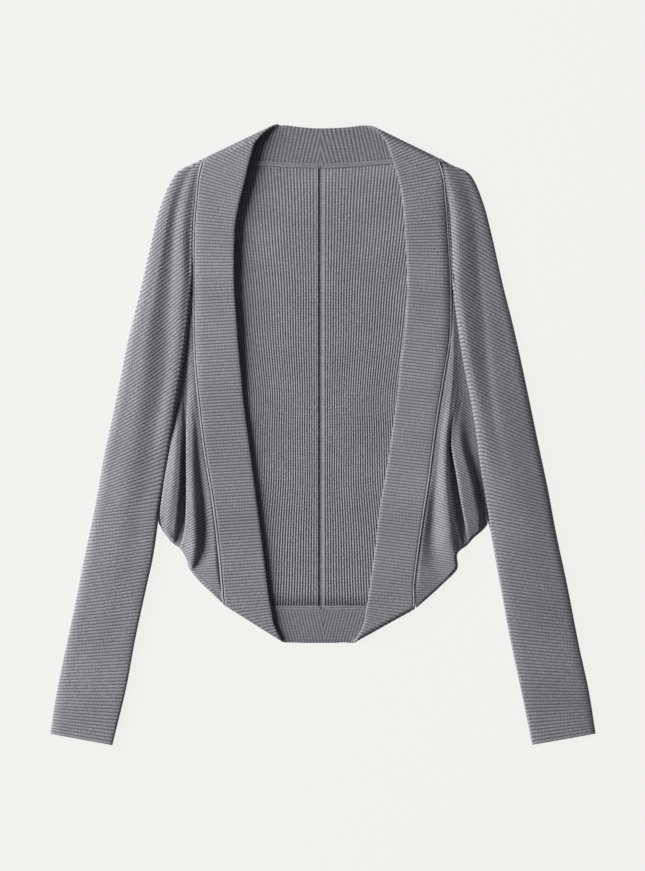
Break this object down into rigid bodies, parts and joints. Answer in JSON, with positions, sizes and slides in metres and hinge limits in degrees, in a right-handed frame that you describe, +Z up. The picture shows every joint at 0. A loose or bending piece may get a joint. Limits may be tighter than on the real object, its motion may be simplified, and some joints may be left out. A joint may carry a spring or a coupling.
{
  "type": "knitted shrug",
  "caption": "Open-front cropped knit shrug laid flat, with a wide band round the opening, long narrow dolman sleeves, draped side folds and fine ribs.",
  "frame": {"origin": "centre of the garment's outline, on the surface it lies on", "axes": "+Z up from the surface, +Y towards the collar, +X towards the wearer's left sleeve"},
  "size_m": [0.6114, 0.6938, 0.0155],
  "materials": {
    "rib_knit": "matt mid-grey rib knit",
    "band_knit": "matt mid-grey doubled rib band"
  },
  "bodies": {
    "root": {"back_left": "rib_knit", "back_right": "rib_knit", "side_left": "rib_knit", "side_right": "rib_knit", "sleeve_left": "rib_knit", "sleeve_right": "rib_knit", "band_left": "band_knit", "band_right": "band_knit"}
  },
  "joints": []
}
